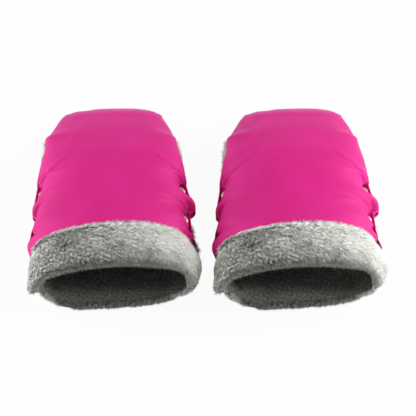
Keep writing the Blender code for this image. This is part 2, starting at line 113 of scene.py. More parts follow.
# How far the corners of the mouth hang back, on the left and on the right of each panel
corner_setbacks = {
    ("front", -1): 7 * mm,
    ("front", 1): 7 * mm,
    ("back", -1): 8 * mm,
    ("back", 1): 0 * mm,
}
corner_start = 60 * mm
corner_width = 50 * mm
corner_length = 85 * mm

# The free height between the edges of the two panels: closed at the tip, open for the handlebar at the slot,
# drawn together at the press studs and gaping a little elsewhere
edge_gaps = np.array([
    (0, 2.5), (80, 2.5), (91, 4.7), (109, 4.7), (117, 7), (131, 7), (139, 4.7), (158, 4.7), (195, 31),
    (231, 32), (242, 1.5), (246, 0), (300, 0),
]) * mm
edge_ease = 2 * mm

# The dimple at a press stud, as distances in from the flange's rim and up from the seam line. The full
# fabric overhangs the cap, dives under it, runs out flat below it and ends in a raised rim. The pinch and the
# slit that shows the cap are longer on the mouth's side (-1) than on the tip's (1), and the slit is widest at
# the stud: for each stud, in the caps' order, how far the overhang's edge lies from the rim there.
flange_reach = 12 * mm
pinch_flats = {-1: 14 * mm, 1: 10 * mm}
pinch_fades = {-1: 21 * mm, 1: 8 * mm}
lining_lead = 8 * mm
pinch_start = 0.2
pinch_blend = 0.4
slit_half_lengths = {-1: 20 * mm, 1: 11 * mm}
slit_end = 1 * mm
slit_lean_share = 0.22
slit_widths = np.array([8.0, 3.5, 12.0, 10.5]) * mm
rim_lean_shares = np.array([0.15, 0.25, 0.3, 0.1])
overhang_points = 7
dimple_line = np.array([
    (9.5, 14), (9.8, 12), (11, 10.6), (13.5, 10), (18, 9.7), (21.6, 9.2), (22.8, 7.9), (22, 6.7),
    (19.5, 6.3), (12, 6.3), (5, 6.3), (3.0, 6.6), (2.1, 7.6), (1.4, 9.0), (0.6, 9.3), (0.1, 8.2), (0, 6),
    (0.3, 3.6), (0.8, 2.6),
]) * mm


ease_samples = 9


def eased(table, y, reach):
    """A size read from a table of given places, with its corners rounded off."""
    shifts = np.linspace(-1, 1, ease_samples) * reach
    return np.mean([np.interp(y + shift, table[:, 0], table[:, 1]) for shift in shifts], axis=0)


def smooth_step(share):
    held = np.clip(share, 0, 1)
    return held * held * (3 - 2 * held)


def seam_height(y):
    return mouth_seam_height + (tip_seam_height - mouth_seam_height) * y / shell_length


def half_width_at(y, side, reach=ease_length):
    return float(eased(left_outline if side < 0 else right_outline, y, reach))


def end_round(y):
    """The crown falls to the seam in a quarter circle at the closed tip."""
    along = np.clip((y - (shell_length - end_radius)) / end_radius, 0, 1)
    return math.sqrt(1 - along * along)


def stud_places():
    """The left muff's press studs, from their caps: side, x, y before the skew, slit width, rim's lean."""
    places = []
    for number, (slit_width, rim_lean) in enumerate(zip(slit_widths, rim_lean_shares), 1):
        low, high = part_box(f"left_snap_cap_{number}")
        middle = (low + high) / 2 - muff_places["left"]
        skewed = mouth_skew * middle.x / skew_half_width
        y = (middle.y - skewed) / (1 - skewed / mouth_to_fold)
        places.append((-1 if middle.x < 0 else 1, abs(middle.x), y, slit_width, rim_lean))
    return places


studs = stud_places()


def stud_pull(y, side, lead):
    """How hard the nearest press stud draws the edge in, where its flange's rim is, and the overhang."""
    nearest = min((abs(y - stud[2]), stud) for stud in studs if stud[0] == side)
    away, (_, x, stud_y, slit_width, rim_lean) = nearest
    away = max(0, away - lead)
    end = -1 if y < stud_y else 1
    pull = float(1 - smooth_step((away - pinch_flats[end]) / pinch_fades[end]))
    past = end * min(away, pinch_flats[end])
    rim = x + flange_reach - rim_lean * past
    opened = math.sqrt(max(0.0, 1 - (away / slit_half_lengths[end]) ** 2))
    overhang = slit_end + (slit_width - slit_end + (slit_lean_share - rim_lean) * past) * opened
    return pull, rim, overhang


def by_length(points, count):
    """A line of points with equal spacing along it."""
    gone = np.concatenate([[0], np.cumsum(np.linalg.norm(np.diff(points, axis=0), axis=1))])
    shares = np.linspace(0, gone[-1], count)
    return np.column_stack([np.interp(shares, gone, points[:, axis]) for axis in (0, 1)])


cut_share = 0.25


def softened(points, rounds=3):
    """A line of corners made a smooth curve, by cutting each corner off again and again."""
    for _ in range(rounds):
        near = points[:-1] * (1 - cut_share) + points[1:] * cut_share
        far = points[:-1] * cut_share + points[1:] * (1 - cut_share)
        middle = np.stack([near, far], axis=1).reshape(-1, 2)
        points = np.concatenate([points[:1], middle, points[-1:]])
    return points


section_points = 160


def arch(half_width, low, high, roundness, count=60):
    """The right half of a padded panel's section, from its crown to its edge."""
    angles = np.linspace(0, math.pi / 2, count)
    across = half_width * np.sin(angles) ** roundness
    up = low + (high - low) * np.clip(np.cos(angles), 0, 1) ** roundness
    return np.column_stack([across, up])


def front_half(y, side, deep_middle, deep_edge, dimple):
    """One side of the front panel's section at a depth under its outer face, with the stud's dimple in it."""
    edge = seam_height(y) + float(eased(edge_gaps, y, edge_ease)) / 2
    calm_edge = seam_height(y) + float(eased(edge_gaps, y, calm_length)) / 2
    crown = float(eased(crown_line, y, ease_length))
    crown = calm_edge + (crown - calm_edge) * end_round(y)
    high = max(calm_edge + least_height, crown - deep_middle)
    half_width = half_width_at(y, side) - deep_edge
    if side > 0:
        half_width -= float(eased(front_tuck, y, edge_ease))
    calm_width = half_width_at(y, side, calm_length) - deep_edge
    plain = by_length(arch(calm_width, calm_edge, high, crown_roundness), section_points)
    at_edge = (plain[:, 0] / calm_width) ** edge_wave_power
    plain += at_edge[:, None] * (half_width - calm_width, edge - calm_edge)
    pull, rim, overhang = stud_pull(y, side, lining_lead if deep_edge else 0)
    if pull == 0:
        return plain
    line = dimple.copy()
    if deep_edge == 0:
        shift = (dimple[0, 0] - overhang) * np.linspace(1, 0, overhang_points)
        line[:overhang_points, 0] -= shift
    line = np.column_stack([rim - line[:, 0], seam_height(y) + line[:, 1]])
    over = arch(line[0, 0], line[0, 1], high, crown_roundness)
    return drawn_in(plain, np.concatenate([over, softened(line)[1:]]), pull)


def drawn_in(plain, drawn, pull):
    """A section's outer part, drawn towards the shape that it has at a press stud."""
    share = pull * smooth_step((np.linspace(0, 1, section_points) - pinch_start) / pinch_blend)[:, None]
    return (1 - share) * plain + share * by_length(drawn, section_points)


def laid(points, y, panel):
    """Points of a section in their place: the mouth's crown hangs back, the muff lies askew, the tip bows."""
    x, up = points[:, 0], points[:, 1]
    along = np.full(len(points), y)
    if y < mouth_to_fold:
        back = 1 - y / mouth_to_fold
        along += mouth_skew * x / skew_half_width * back
        for side in (-1, 1):
            at_corner = smooth_step((side * x - corner_start) / corner_width)
            along += corner_setbacks[panel, side] * at_corner * (1 - smooth_step(y / corner_length))
        if panel == "front":
            along += mouth_recess * back * (up - up.min()) / max(np.ptp(up), least_rise)
    else:
        share = (y - mouth_to_fold) / (shell_length - mouth_to_fold)
        along += np.interp(x, tip_reach[:, 0], tip_reach[:, 1]) * share ** 2
    return np.column_stack([x, along, up])


def panel_grid(half, ys, across, panel, **depths):
    """A face of a panel, as rows of points: across holds each point's share of the way out to the edge."""
    rows = []
    steps = np.linspace(0, 1, section_points)
    for y in ys:
        row = np.empty((len(across), 2))
        for side in (-1, 1):
            section = half(y, side, **depths)
            here = (across < 0) if side < 0 else (across >= 0)
            for axis in (0, 1):
                row[here, axis] = np.interp(np.abs(across[here]), steps, section[:, axis])
            row[here, 0] *= side
        rows.append(laid(row, y, panel))
    return np.array(rows)


def grid_normals(grid):
    """The direction square to a grid of points at each of them."""
    along, across = np.gradient(grid, axis=0), np.gradient(grid, axis=1)
    normals = np.cross(across, along)
    return normals / np.maximum(np.linalg.norm(normals, axis=2, keepdims=True), 1e-12)


def cloth_lengths(grid):
    """Each point's place on the flat cloth: how far across from the middle, and how far along, in metres."""
    middle = grid.shape[1] // 2
    across = np.zeros(grid.shape[:2])
    across[:, 1:] = np.cumsum(np.linalg.norm(np.diff(grid, axis=1), axis=2), axis=1)
    across -= across[:, middle:middle + 1]
    along = np.zeros(grid.shape[:2])
    along[1:] = np.cumsum(np.linalg.norm(np.diff(grid, axis=0), axis=2), axis=0)
    return np.stack([across, along], axis=2)


def cut_size(grid):
    """A sheet's flat width, length and area, from the face that it covers."""
    places = cloth_lengths(grid)
    width = float((places[:, -1, 0] - places[:, 0, 0]).max())
    length = float(places[-1, :, 1].max())
    first, second = grid[1:, 1:] - grid[:-1, :-1], grid[:-1, 1:] - grid[1:, :-1]
    area = float(np.linalg.norm(np.cross(first, second), axis=2).sum()) / 2
    return (width, length), min(area, width * length)


def sheet_faces(rows, columns):
    """The faces of a closed sheet: its top grid, its bottom grid under it, and the rim that joins them."""
    place = np.arange(rows * columns).reshape(rows, columns)
    top = np.stack([place[:-1, :-1], place[:-1, 1:], place[1:, 1:], place[1:, :-1]], axis=2).reshape(-1, 4)
    bottom = top[:, ::-1] + rows * columns
    edge = np.concatenate([place[0, :-1], place[:-1, -1], place[-1, :0:-1], place[:0:-1, 0]])
    following = np.roll(edge, -1)
    rim = np.stack([following, edge, edge + rows * columns, following + rows * columns], axis=1)
    return np.concatenate([top, bottom, rim])


def facing_out(points, faces):
    """The faces of a closed form, turned to face outwards."""
    first = points[faces[:, 0]]
    held = 0.0
    for corner in range(1, faces.shape[1] - 1):
        turned_corner = np.cross(points[faces[:, corner]], points[faces[:, corner + 1]])
        held += float((first * turned_corner).sum())
    return faces if held > 0 else faces[:, ::-1]


def make_mesh(name, points, face_groups, cloth_places, **values):
    """A smooth mesh with the cloth's own places and named values at its points."""
    corners = np.concatenate([faces.ravel() for faces in face_groups]).astype(np.int32)
    sizes = np.concatenate([np.full(len(faces), faces.shape[1]) for faces in face_groups])
    starts = np.concatenate([[0], np.cumsum(sizes)[:-1]]).astype(np.int32)
    mesh = bpy.data.meshes.new(name)
    mesh.vertices.add(len(points))
    mesh.vertices.foreach_set("co", points.astype(np.float32).ravel())
    mesh.loops.add(len(corners))
    mesh.loops.foreach_set("vertex_index", corners)
    mesh.polygons.add(len(sizes))
    mesh.polygons.foreach_set("loop_start", starts)
    mesh.update(calc_edges=True)
    mesh.validate()
    mesh.uv_layers.new(name="cloth").data.foreach_set("uv", cloth_places[corners].astype(np.float32).ravel())
    for value_name, numbers in values.items():
        made = mesh.attributes.new(value_name, "FLOAT", "POINT")
        made.data.foreach_set("value", numbers.astype(np.float32))
    mesh.shade_smooth()
    return mesh


def closed_sheet(name, top, bottom):
    """A closed mesh between two grids of points."""
    points = np.concatenate([top.reshape(-1, 3), bottom.reshape(-1, 3)])
    places = np.tile(cloth_lengths(top).reshape(-1, 2), (2, 1))
    return make_mesh(name, points, [facing_out(points, sheet_faces(*top.shape[:2]))], places)


def piece(name, mesh, side, finish):
    """One muff's piece: its own copy of the mesh, put in its place in the frame."""
    own = mesh.copy()
    own.name = f"{side}_{name}"
    own.transform(Matrix.Translation(muff_places[side]))
    own.materials.append(finish)
    made = bpy.data.objects.new(f"{side}_{name}", own)
    bpy.context.scene.collection.objects.link(made)
    return made


def bends_with_front(made):
    """Bakes the piece's place in the frame into its points."""
    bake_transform(made)


# Tension folds in the front shell, each a groove with a raised lip beside it: points (x, y) down its line
tension_folds = [
    [(41, 188.5), (51, 185), (60, 180), (71, 174.7), (79, 168.3), (84.5, 164), (90, 159)],
    [(41, 106), (51, 103.5), (64, 104.5), (76, 106.6), (84, 107.8), (91, 108.5), (95, 110)],
    [(-52, 185), (-57, 182.4), (-68, 176), (-81, 167.5), (-91, 158.2), (-96, 152)],
]
fold_depth = 1.6 * mm
fold_width = 1.8 * mm
fold_lip = 1.2 * mm
lip_width = 4.5 * mm
fold_fade = 25 * mm
fold_end_share = 0.6

# The gentle unevenness of stuffed cloth: a broad swell and a finer ripple, by the lengths of their waves
sag_height = 0.25 * mm
swell = dict(across=23 * mm, across_drift=41 * mm, along=31 * mm, along_drift=53 * mm)
swell_bend = 1.3
ripple = dict(across=14 * mm, slant=19 * mm, drift=47 * mm, along=16 * mm, counter=37 * mm)
ripple_bend = 2
ripple_share = 0.5


def fold_relief(grid):
    """How far the shell's tension folds and slack raise each point of it."""
    x, y = grid[..., 0], grid[..., 1]
    raised = slack(grid)
    for corners in tension_folds:
        line = softened(np.array(corners, float) * mm)
        nearest = np.full(x.shape, 1.0)
        side_of = np.zeros(x.shape)
        share = np.zeros(x.shape)
        gone = np.concatenate([[0], np.cumsum(np.linalg.norm(np.diff(line, axis=0), axis=1))])
        for number, (start, end) in enumerate(zip(line, line[1:])):
            step = end - start
            length = np.linalg.norm(step)
            held = np.clip(((x - start[0]) * step[0] + (y - start[1]) * step[1]) / length ** 2, 0, 1)
            off_x, off_y = x - start[0] - held * step[0], y - start[1] - held * step[1]
            away = np.hypot(off_x, off_y)
            closer = away < nearest
            nearest = np.where(closer, away, nearest)
            side_of = np.where(closer, np.sign(step[0] * off_y - step[1] * off_x), side_of)
            share = np.where(closer, gone[number] + held * length, share)
        fade = smooth_step(share / fold_fade) * smooth_step((gone[-1] - share) / fold_fade + fold_end_share)
        groove = -fold_depth * np.exp(-(nearest / fold_width) ** 2)
        signed = nearest * side_of * (1 if line[-1, 0] > 0 else -1)
        lip = fold_lip * np.exp(-((signed - lip_width) / lip_width) ** 2)
        raised += fade * (groove + lip)
    return raised


def slack(grid):
    x, y = grid[..., 0], grid[..., 1]
    drift = swell_bend * np.sin(x / swell["along_drift"])
    waves = np.sin(x / swell["across"] + np.sin(y / swell["across_drift"]))
    waves *= np.sin(y / swell["along"] + drift)
    drift = ripple_bend * np.sin(y / ripple["drift"])
    slanted = np.sin(x / ripple["across"] + y / ripple["slant"] + drift)
    waves += ripple_share * slanted * np.sin(y / ripple["along"] - x / ripple["counter"])
    return sag_height * waves


def across_shares(count, edge_share=0.55):
    """Shares from the left edge to the right, closer together near the edges, where the form is finest."""
    steps = np.linspace(-1, 1, count)
    return np.sign(steps) * (1 - (1 - np.abs(steps)) ** (1 + edge_share))


def rows_of_ys(start, end, spacing):
    return np.linspace(start, end, int(round(abs(end - start) / spacing)) + 1)


tip_stations = 15


def tip_ys():
    """Stations round the tip's end, closer together as it turns down to its seam."""
    turns = np.linspace(0, math.pi / 2, tip_stations + 1)[1:]
    return shell_length - end_radius + end_radius * np.sin(turns)


def stitched(grid, depth, inset, spacing):
    """Pulls the cloth in along the tip's seam, a little at each stitch."""
    lengths = cloth_lengths(grid)
    to_tip = lengths[-1:, :, 1] - lengths[..., 1]
    puckers = 1 - pucker_share + pucker_share * np.cos(2 * math.pi * lengths[..., 0] / spacing)
    return -depth * puckers * np.exp(-((to_tip - inset) / inset) ** 2)


shell_columns = 191
shell_spacing = 1.65 * mm
pucker_share = 0.4
stitch_depth = 0.8 * mm
stitch_inset = 5 * mm
stitch_spacing = 7 * mm
shell_ys = np.concatenate([rows_of_ys(0, shell_length - end_radius, shell_spacing), tip_ys()])
shell_across = across_shares(shell_columns)
outer_face = dict(deep_middle=0, deep_edge=0)
front_outer = panel_grid(front_half, shell_ys, shell_across, "front", dimple=dimple_line, **outer_face)
front_relief = fold_relief(front_outer) + stitched(front_outer, stitch_depth, stitch_inset, stitch_spacing)
front_outer += grid_normals(front_outer) * front_relief[..., None]
front_under = front_outer - grid_normals(front_outer) * shell_thickness


def connect(tree, node, inputs):
    """Sets a node's inputs, and joins those that are given another node's output."""
    for name, value in inputs.items():
        if isinstance(value, bpy.types.NodeSocket):
            tree.links.new(value, node.inputs[name])
        else:
            node.inputs[name].default_value = value


def added(tree, kind, inputs, **settings):
    node = tree.nodes.new(f"ShaderNode{kind}")
    for name, value in settings.items():
        setattr(node, name, value)
    connect(tree, node, inputs)
    return node


def new_finish(name, inputs):
    """A material, its node tree and its shader, with the shader's inputs set."""
    finish = bpy.data.materials.new(name)
    finish.use_nodes = True
    shader = finish.node_tree.nodes["Principled BSDF"]
    connect(finish.node_tree, shader, inputs)
    return finish, finish.node_tree, shader


def tone_ramp(tree, value, stops):
    """The colour at a value, from stops (place, colour) in order."""
    ramp = added(tree, "ValToRGB", {"Fac": value})
    elements = ramp.color_ramp.elements
    for element, (place, colour) in zip(elements, (stops[0], stops[-1])):
        element.position = place
        element.color = colour
    for place, colour in stops[1:-1]:
        elements.new(place).color = colour
    return ramp.outputs["Color"]


dye_tones = [(0.35, (0.59, 0.012, 0.188, 1)), (0.65, (0.65, 0.016, 0.222, 1))]
weave_depth = 0.2 * mm
crease_depth = 1 * mm


def nylon():
    """Hot pink nylon: a fine plain weave with a soft sheen, a little uneven in the dye."""
    finish, tree, shader = new_finish("pink_nylon", {
        "Roughness": 0.6,
        "Specular IOR Level": 0.4,
        "Specular Tint": (1.0, 0.5, 0.95, 1.0),
        "Sheen Weight": 0.3,
        "Sheen Roughness": 0.4,
        "Sheen Tint": (1.0, 0.4, 0.9, 1.0),
    })
    cloth = added(tree, "UVMap", {}, uv_map="cloth").outputs["UV"]
    dye = added(tree, "TexNoise", {"Vector": cloth, "Scale": 14, "Detail": 3})
    threads = []
    for axis in ("X", "Y"):
        wave = {"Vector": cloth, "Scale": 380, "Distortion": 0.6, "Detail": 1}
        threads.append(added(tree, "TexWave", wave, bands_direction=axis).outputs["Fac"])
    crossing = added(tree, "Math", dict(enumerate(threads)), operation="MULTIPLY")
    crease = added(tree, "TexNoise", {"Vector": cloth, "Scale": 90, "Detail": 4})
    weave_bump = added(tree, "Bump", {
        "Strength": 0.25, "Distance": weave_depth, "Height": crossing.outputs["Value"],
    })
    crease_bump = added(tree, "Bump", {
        "Strength": 0.12, "Distance": crease_depth, "Height": crease.outputs["Fac"],
        "Normal": weave_bump.outputs["Normal"],
    })
    connect(tree, shader, {
        "Base Color": tone_ramp(tree, dye.outputs["Fac"], dye_tones),
        "Normal": crease_bump.outputs["Normal"],
    })
    return finish


pink_nylon = nylon()
front_shell_mesh = closed_sheet("front_shell", front_outer, front_under)
front_cut, front_area = cut_size(front_outer)
for side in muff_places:
    front_shell = piece("front_shell_cloth", front_shell_mesh, side, pink_nylon)
    bends_with_front(front_shell)
    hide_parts(f"{side}_front_shell", f"{side}_tip_shell")


# The back shell
# The same nylon, sewn to the front shell round the tip. It lies on the floor, and near the mouth on its own
# turned cuff, and its sides rise to the seam line like a shallow dish.
cuff_stand = 6.3 * mm
cuff_depth = 58 * mm
cuff_step = 26 * mm

# The back panel's half widths near the mouth, where its corners are drawn in, and the share of the way out
# that is flat and the roundness of the side, each on the left and on the right
back_mouths = {
    -1: np.array([(0, 92), (30, 105), (45, 108)]) * mm,
    1: np.array([(0, 101), (12, 106), (30, 108)]) * mm,
}
flat_share_tables = {
    -1: np.array([(0, 0.48), (60 * mm, 0.38), (110 * mm, 0.5), (200 * mm, 0.6), (300 * mm, 0.6)]),
    1: np.array([(0, 0.20), (60 * mm, 0.34), (110 * mm, 0.5), (200 * mm, 0.6), (300 * mm, 0.6)]),
}
mouth_roundness = {-1: 1.35, 1: 1.8}
back_roundness = 1.9
back_dimple_line = np.array([
    (17, -16), (17.4, -13), (18.8, -10.6), (21.4, -8.6), (22.6, -7.4), (22, -6.6), (19.5, -6.35), (10, -6.35),
    (3, -6.35), (1, -6.3), (0.1, -5.2), (0.1, -3.6), (0.6, -2.6),
]) * mm


def floor_height(y):
    """The back panel stands on its own turned cuff near the mouth, and on the floor past it."""
    return cuff_stand * (1 - float(smooth_step((y - cuff_depth) / cuff_step)))


def dish(flat, half_width, low, high, power, count=60):
    """The right half of a dish's section, from the middle of its flat bottom out and up to its edge."""
    angles = np.linspace(0, math.pi / 2, count)
    across = flat + (half_width - flat) * np.sin(angles) ** (2 / power)
    up = high - (high - low) * np.cos(angles) ** (2 / power)
    return np.concatenate([[(0, low)], np.column_stack([across, up])])


def back_half(y, side, deep_middle, deep_edge, dimple):
    """One side of the back panel's section at a depth over its outer face, with the stud's flange in it."""
    edge = seam_height(y) - float(eased(edge_gaps, y, edge_ease)) / 2
    low = edge - (edge - floor_height(y)) * end_round(y)
    low = min(edge - least_height, low + deep_middle)
    mouth = back_mouths[side]
    half_width = half_width_at(y, side)
    if y < mouth[-1, 0]:
        half_width = min(half_width, float(eased(mouth, y, edge_ease)))
    half_width -= deep_edge
    flat = float(np.interp(y, *flat_share_tables[side].T)) * half_width
    from_cuff = float(smooth_step(y / cuff_depth))
    power = mouth_roundness[side] + (back_roundness - mouth_roundness[side]) * from_cuff
    plain = by_length(dish(flat, half_width, low, edge, power), section_points)
    pull, rim, _ = stud_pull(y, side, lining_lead if deep_edge else 0)
    if pull == 0:
        return plain
    line = np.column_stack([rim - dimple[:, 0], seam_height(y) + dimple[:, 1]])
    under = dish(flat, line[0, 0], low, line[0, 1], power)
    drawn = by_length(np.concatenate([under, softened(line)[1:]]), section_points)
    return (1 - pull) * plain + pull * drawn


back_outer = panel_grid(back_half, shell_ys, shell_across, "back", dimple=back_dimple_line, **outer_face)
back_under = back_outer + grid_normals(back_outer) * shell_thickness
back_shell_mesh = closed_sheet("back_shell", back_outer, back_under)
back_cut, back_area = cut_size(back_outer)
for side in muff_places:
    back_shell = piece("back_shell_cloth", back_shell_mesh, side, pink_nylon)
    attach(back_shell, "muff_backs")
    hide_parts(f"{side}_back_shell")


# The wadding
# A layer of loose white fibre in each panel, cut smaller than the cloth so that none of it is caught in the
# seams or under the press studs. It is shut in between the shell and the plush.

# The lining's faces under the shell: how deep they lie in the middle and in from the edge, and how they run
# in a press stud's dimple, as distances in from the flange's rim and up from the seam line
lining_depths = dict(
    face=dict(deep_middle=9.2 * mm, deep_edge=3.4 * mm),
    backing=dict(deep_middle=6.9 * mm, deep_edge=1.2 * mm),
)
lining_dimples = {
    ("front", "face"): np.array([
        (26, 12), (25.6, 8), (24, 4.6), (21, 2.7), (16, 2.35), (8, 2.35), (3.4, 2.35),
    ]) * mm,
    ("front", "backing"): np.array([
        (24.6, 13), (24.2, 9), (23, 6.6), (20, 5.1), (16, 4.9), (8, 4.9), (1.2, 4.9),
    ]) * mm,
    ("back", "face"): np.array([(30, -8), (27, -5), (24, -3.2), (20, -2.4), (12, -2.35), (3.4, -2.35)]) * mm,
    ("back", "backing"): np.array([
        (28, -12), (25, -8), (22, -5.6), (18, -4.9), (10, -4.9), (1.2, -4.9),
    ]) * mm,
}
wadding_shares = (0.3, 0.8)
wadding_reach_share = 0.6
wadding_columns = 41
wadding_start = 8 * mm
wadding_end = 24 * mm
wadding_spacing = 6 * mm


def fibre():
    """White fibre fill, matt and cloudy."""
    finish, tree, shader = new_finish("white_fibre", {"Roughness": 0.95})
    cloud = added(tree, "TexNoise", {"Scale": 160, "Detail": 6})
    tones = [(0, (0.70, 0.70, 0.68, 1)), (1, (0.90, 0.90, 0.88, 1))]
    connect(tree, shader, {"Base Color": tone_ramp(tree, cloud.outputs["Fac"], tones)})
    return finish


white_fibre = fibre()
wadding_ys = rows_of_ys(wadding_start, shell_length - wadding_end, wadding_spacing)
wadding_across = np.linspace(-wadding_reach_share, wadding_reach_share, wadding_columns)
for panel, half, dimple in (("front", front_half, dimple_line), ("back", back_half, back_dimple_line)):
    shell_face = panel_grid(half, wadding_ys, wadding_across, panel, dimple=dimple, **outer_face)
    lining_back = panel_grid(
        half, wadding_ys, wadding_across, panel, dimple=lining_dimples[panel, "backing"],
        **lining_depths["backing"],
    )
    faces = [shell_face + (lining_back - shell_face) * share for share in wadding_shares]
    wadding_mesh = closed_sheet(f"{panel}_wadding", *faces)
    for side in muff_places:
        wadding = piece(f"{panel}_wadding_fill", wadding_mesh, side, white_fibre)
        if panel == "front":
            bends_with_front(wadding)
            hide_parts(f"{side}_front_wadding", f"{side}_tip_wadding")
        else:
            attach(wadding, "muff_backs")
            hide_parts(f"{side}_back_wadding")


# The plush
# Each panel's lining is one piece of grey pile fabric. It runs from inside the tip to the mouth, rolls over
# the edge and lies back over the shell as the deep cuff, its raw edge turned under. The pile is brushed.
plush_columns = 111
lining_end = 2 * mm
near_lining = 60 * mm
fold_lining = 190 * mm
lining_spacing = 3.2 * mm
deep_spacing = 9 * mm
fold_spacing = 4 * mm
band_rows = 24
roll_steps = 10
hem_radius = 3.2 * mm
band_backing = 0.4 * mm
band_faces = np.array([(0, 4.6), (25, 3.6), (60, 2.6)]) * mm
corner_fullness = 2.2 * mm
fullness_start_share = 0.7
fullness_depth = 45 * mm
hem_turn_share = 0.98
roll_bulge_shares = (1.0, 0.35)
under_band_length = 72 * mm
under_band_spacing = 1.5 * mm
under_band_columns = 161
depth_ease_share = 0.08
reach_ease = 4 * mm
far_from_hem = 1.0

# How deep each turned band is at each share of the way across, and how far out along the section its ends
# reach at each distance from the mouth: the corners are drawn in and show the shell past them
band_depths = {
    "front": np.array([
        (-1, 47 * mm), (-0.85, 52 * mm), (-0.5, 53 * mm), (0, 54.5 * mm), (0.5, 53 * mm), (0.8, 50 * mm),
        (1, 46 * mm),
    ]),
    "back": np.array([(-1, 44 * mm), (-0.6, 52 * mm), (0, 58 * mm), (0.6, 60 * mm), (1, 66 * mm)]),
}
band_reach_shares = {
    ("front", -1): np.array([(34 * mm, 1.0), (41 * mm, 0.87), (47 * mm, 0.79), (54 * mm, 0.72)]),
    ("front", 1): np.array([(12 * mm, 1.0), (22 * mm, 0.94), (34 * mm, 0.85), (49 * mm, 0.76)]),
    ("back", -1): np.array([(30 * mm, 1.0), (44 * mm, 0.97)]),
    ("back", 1): np.array([(30 * mm, 1.0), (66 * mm, 1.0)]),
}


def between(grid, rows, columns):
    """Values of a grid at rows and columns that may lie between its own."""
    near_rows = np.clip(np.floor(rows).astype(int), 0, grid.shape[0] - 2)
    near_columns = np.clip(np.floor(columns).astype(int), 0, grid.shape[1] - 2)
    shape = rows.shape + (1,) * (grid.ndim - 2)
    down, over = (rows - near_rows).reshape(shape), (columns - near_columns).reshape(shape)
    near = grid[near_rows, near_columns] * (1 - over) + grid[near_rows, near_columns + 1] * over
    far = grid[near_rows + 1, near_columns] * (1 - over) + grid[near_rows + 1, near_columns + 1] * over
    return near * (1 - down) + far * down


def plush_faces(panel, half, dimple, up):
    """The pile side and the backing of a whole lining, from inside the tip, over the mouth, to the hem.

    Beside them come each point's distance from the mouth inside the muff, and from the hem on the band.
    """
    shares = across_shares(plush_columns)
    lining_ys = np.concatenate([
        rows_of_ys(shell_length - lining_end, fold_lining, fold_spacing),
        rows_of_ys(fold_lining, near_lining, deep_spacing)[1:],
        rows_of_ys(near_lining, 0, lining_spacing)[1:],
    ])
    inside = [
        panel_grid(half, lining_ys, shares, panel, dimple=lining_dimples[panel, face], **lining_depths[face])
        for face in ("face", "backing")
    ]
    fine_ys = np.arange(0, under_band_length, under_band_spacing)
    fine_across = np.linspace(-1, 1, under_band_columns)
    shell = panel_grid(half, fine_ys, fine_across, panel, dimple=dimple, **outer_face)
    normals = grid_normals(shell) * up
    deep = eased(band_depths[panel], shares, depth_ease_share)
    band_ys = np.linspace(0, 1, band_rows)[:, None] * deep
    left_reach, right_reach = (eased(band_reach_shares[panel, side], band_ys, reach_ease) for side in (-1, 1))
    reaches = np.where(shares < 0, left_reach, right_reach)
    rows = band_ys / (fine_ys[1] - fine_ys[0])
    columns = (shares * reaches + 1) / (fine_across[1] - fine_across[0])
    base = between(shell, rows, columns)
    square = between(normals, rows, columns)
    turned_in = np.clip((band_ys - (deep - hem_radius)) / hem_radius, 0, 1)
    height = np.interp(band_ys, band_faces[:, 0], band_faces[:, 1])
    at_corner = smooth_step((np.abs(shares) - fullness_start_share) / (1 - fullness_start_share))
    height += corner_fullness * at_corner * (1 - smooth_step(band_ys / fullness_depth))
    height = band_backing + (height - band_backing) * np.sqrt(1 - turned_in ** 2 * hem_turn_share)
    band = [base + square * height[..., None], base + square * band_backing]
    forward = base[0] - base[1]
    forward /= np.linalg.norm(forward, axis=1)[:, None]
    made = []
    for inner, outer, bulge in zip(inside, band, roll_bulge_shares):
        centre = (inner[-1] + outer[0]) / 2
        arm = (outer[0] - inner[-1]) / 2
        reach = np.linalg.norm(arm, axis=1)[:, None]
        roll = []
        for angle in np.linspace(math.pi, 0, roll_steps + 2)[1:-1]:
            roll.append(centre + arm * math.cos(angle) + forward * reach * math.sin(angle) * bulge)
        made.append(np.concatenate([inner, np.array(roll), outer]))
    rolled = np.zeros((roll_steps, plush_columns))
    from_mouth = np.concatenate([np.repeat(lining_ys[:, None], plush_columns, axis=1), rolled, 0 * band_ys])
    to_hem = np.full(from_mouth.shape, far_from_hem)
    to_hem[-band_rows:] = deep - band_ys
    return made[0], made[1], from_mouth, to_hem, len(lining_ys)


wave_spread_shares = (0.6, 1.6)


def field(places, seed, wavelength, count=7):
    """A smooth random number from about -1 to 1 at each place on the cloth."""
    rng = np.random.default_rng(seed)
    total = np.zeros(places.shape[:-1])
    for _ in range(count):
        direction = rng.uniform(0, 2 * math.pi)
        stretch = 2 * math.pi / (wavelength * rng.uniform(*wave_spread_shares))
        phase = rng.uniform(0, 2 * math.pi)
        turned_place = places[..., 0] * math.cos(direction) + places[..., 1] * math.sin(direction)
        total += np.sin(turned_place * stretch + phase)
    return total / math.sqrt(count)


root_depth = 0.4 * mm
clump_size = 4.5 * mm
clump_waves = 14

# A blade's length, width and lean in degrees from upright, each drawn between two limits, and how it bends
length_shares = (0.7, 1.25)
width_shares = (0.75, 1.25)
lean_degrees = (68, 80)
tone_lift_degrees = 5
bend_share = 0.4
ridge_share = 0.25
blade_height_shares = [0, 0, 0.6, 1.0]
blade_points = len(blade_height_shares)

# How much the pile's tone varies from clump to clump, by the place across in millimetres, and on the back
# panel, and the share of it by which it varies from blade to blade
tone_spreads = np.array([(-100, 1.5), (0, 1.3), (60, 0.6), (110, 0.5)])
back_spread = 1.8
tone_jitter = 0.5


